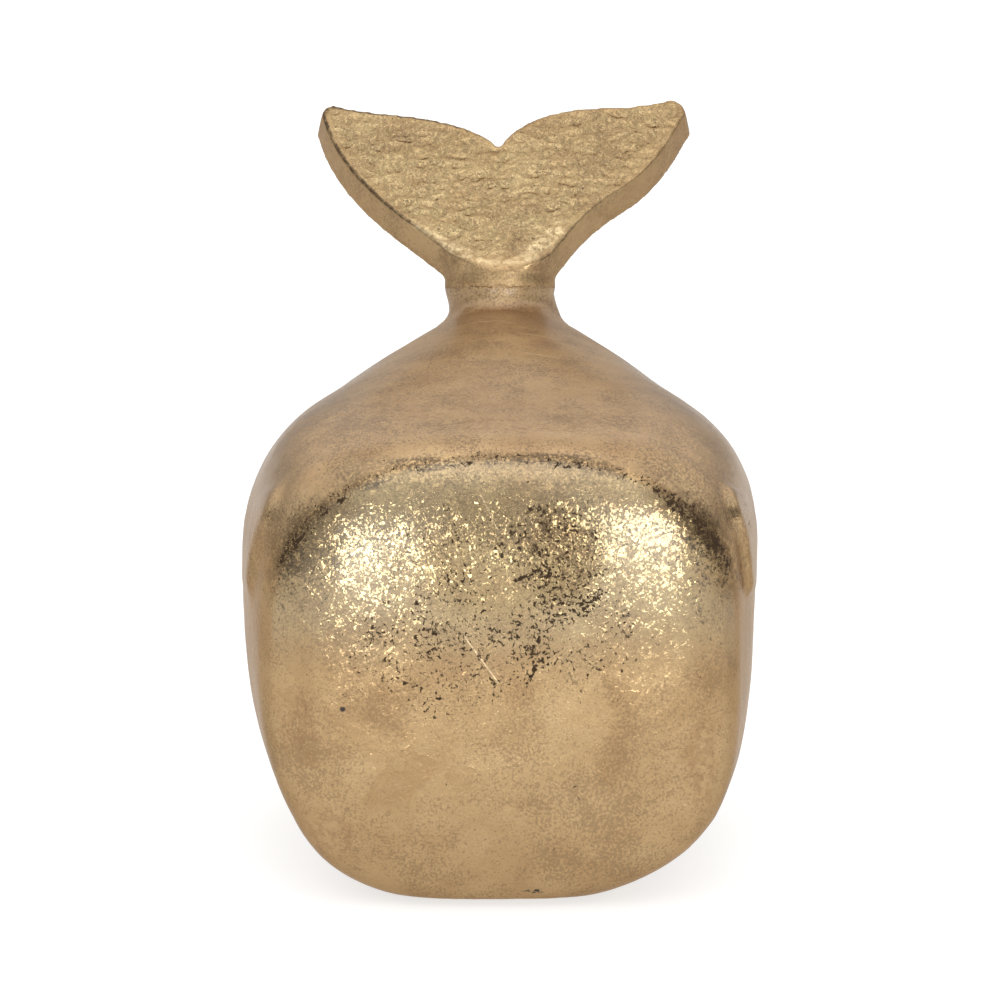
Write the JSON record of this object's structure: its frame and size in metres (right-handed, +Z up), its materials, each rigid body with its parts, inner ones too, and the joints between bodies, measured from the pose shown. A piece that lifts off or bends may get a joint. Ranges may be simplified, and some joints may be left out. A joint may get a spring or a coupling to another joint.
{
  "type": "whale figurine",
  "caption": "Free-standing gilded whale ornament with a blocky head and flukes leaning back on a narrow stock, closed by a base plate and stood on pads.",
  "frame": {"origin": "on the table plane at the undersides of the foot pads, under the middle of the figurine", "axes": "+Z up, the head faces -Y, the tail stands at +Y, +X to the viewer's right when seen from the front"},
  "size_m": [0.1406, 0.195, 0.1897],
  "materials": {
    "gilded_casting": "imitation gold leaf laid over a brown ground on cast resin, crinkled and worn in flecks",
    "steel_dowel": "plain turned steel",
    "base_board": "pressed fibreboard, unpainted",
    "pad_rubber": "matt, slightly textured"
  },
  "bodies": {
    "root": {"body_shell": "gilded_casting", "tail_casting": "gilded_casting", "tail_dowel": "steel_dowel", "base_plate": "base_board", "foot_pad_1": "pad_rubber", "foot_pad_2": "pad_rubber", "foot_pad_3": "pad_rubber", "foot_pad_4": "pad_rubber"}
  },
  "joints": []
}
